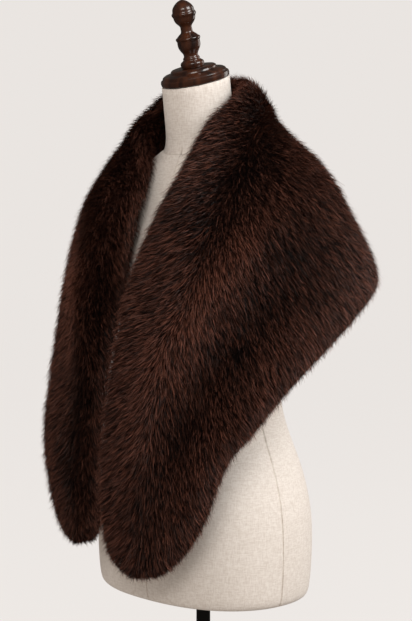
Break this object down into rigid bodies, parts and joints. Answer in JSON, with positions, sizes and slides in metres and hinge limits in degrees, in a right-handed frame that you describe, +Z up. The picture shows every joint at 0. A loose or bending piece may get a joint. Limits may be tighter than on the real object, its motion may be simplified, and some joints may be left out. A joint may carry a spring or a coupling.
{
  "type": "fur collar wrap on a dress form",
  "caption": "Deep brown long-pile fur collar wrap with a V front and rounded front ends, on a limbless linen dress form with a turned wooden neck cap and finial, a black pole and a round base.",
  "frame": {"origin": "centre of the round base's underside, on the surface it stands on", "axes": "+Z up along the pole, the dress form's front faces -Y, the wearer's left is +X"},
  "size_m": [0.5203, 0.3909, 1.1699],
  "materials": {
    "fur": "long dense pile, soft sheen",
    "linen": "plain weave, matt",
    "dark_wood": "turned, dark stain, gloss varnish",
    "black_metal": "satin black paint"
  },
  "bodies": {
    "root": {"collar": "fur", "back": "fur", "front_left": "fur", "front_right": "fur", "torso": "linen", "neck": "linen", "neck_cap": "dark_wood", "finial": "dark_wood", "pole": "black_metal", "base_plate": "black_metal"}
  },
  "joints": []
}
